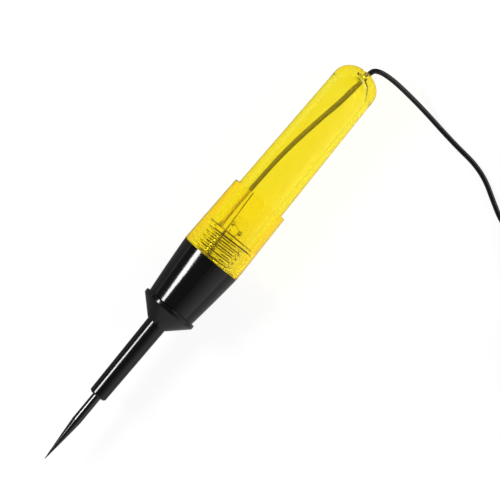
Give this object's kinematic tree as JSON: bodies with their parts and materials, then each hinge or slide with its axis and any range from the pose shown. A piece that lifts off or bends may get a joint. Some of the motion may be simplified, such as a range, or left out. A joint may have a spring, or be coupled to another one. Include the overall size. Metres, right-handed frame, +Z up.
{
  "type": "wired circuit tester",
  "caption": "Needle-probe circuit tester with a clear lamp handle, a screwed-on nose, and a thin earth lead ending in a spring clip.",
  "frame": {"origin": "on the surface the tool lies on, below the middle of the tool without its free lead", "axes": "+X along the tool from the needle's point to the lead exit, +Y to the side, +Z up"},
  "size_m": [0.1544, 0.1277, 0.0186],
  "materials": {
    "yellow_clear_plastic": "clear injection-moulded yellow acetate, glossy",
    "spring_bronze": "stamped phosphor bronze, dulled",
    "tinned_copper": "tinned copper strands",
    "solder": "soft solder",
    "black_pvc": "soft glossy PVC insulation",
    "tie_plastic": "flat plastic twist tie",
    "plated_steel": "nickel-plated pressed sheet",
    "grip_vinyl": "dipped soft vinyl",
    "pin_steel": "plated rivet",
    "spring_steel": "drawn spring wire",
    "lamp_glass": "clear blown glass",
    "lamp_brass": "drawn brass shell",
    "lamp_insulator": "black vitrite",
    "support_wire": "thin nickel wire",
    "bead_glass": "pressed glass bead",
    "filament_wire": "coiled tungsten",
    "black_gloss_plastic": "glossy moulded plastic with a fine parting line",
    "sleeve_plastic": "glossy moulded tube",
    "needle_steel": "ground and dark-polished steel"
  },
  "bodies": {
    "handle": {"handle": "yellow_clear_plastic", "contact_ring": "spring_bronze", "lead_conductor": "tinned_copper", "lead_solder": "solder", "lead_inner": "black_pvc", "lead_cord": "black_pvc", "lead_coil": "black_pvc", "lead_tail": "black_pvc", "lead_tie": "tie_plastic", "clip_lower_arm": "plated_steel", "clip_lower_grip": "grip_vinyl", "clip_pin": "pin_steel", "clip_spring": "spring_steel"},
    "lamp": {"lamp_shell": "lamp_brass", "lamp_glass": "lamp_glass", "lamp_insulator": "lamp_insulator", "lamp_tip_contact": "solder", "lamp_supports": "support_wire", "lamp_bead": "bead_glass", "lamp_filament": "filament_wire"},
    "nose": {"nose_body": "black_gloss_plastic", "nose_thread": "yellow_clear_plastic", "probe_sleeve": "sleeve_plastic", "probe_needle": "needle_steel", "contact_spring": "spring_steel"},
    "clip_upper": {"clip_upper_arm": "plated_steel", "clip_upper_grip": "grip_vinyl"}
  },
  "joints": [
    {"name": "lamp_slide", "type": "slide", "parent": "handle", "child": "lamp", "axis": [-1, 0, 0], "range_m": [0, 0.00675]},
    {"name": "nose_screw", "type": "hinge", "parent": "lamp", "child": "nose", "pos_m": [0, 0, 0.00931], "axis": [-1, 0, 0], "range_deg": [0, 1620]},
    {"name": "clip_jaw", "type": "hinge", "parent": "handle", "child": "clip_upper", "pos_m": [0.0335, -0.1037, 0.004], "axis": [0, 0, 1], "range_deg": [0, 17], "stiffness_Nm_per_rad": 0.05, "springref_deg": -20.05, "deforming": ["clip_spring"]}
  ],
  "couplings": [
    {"joint": "nose_screw", "follows": "lamp_slide", "rad_per_m": 4188.8}
  ]
}
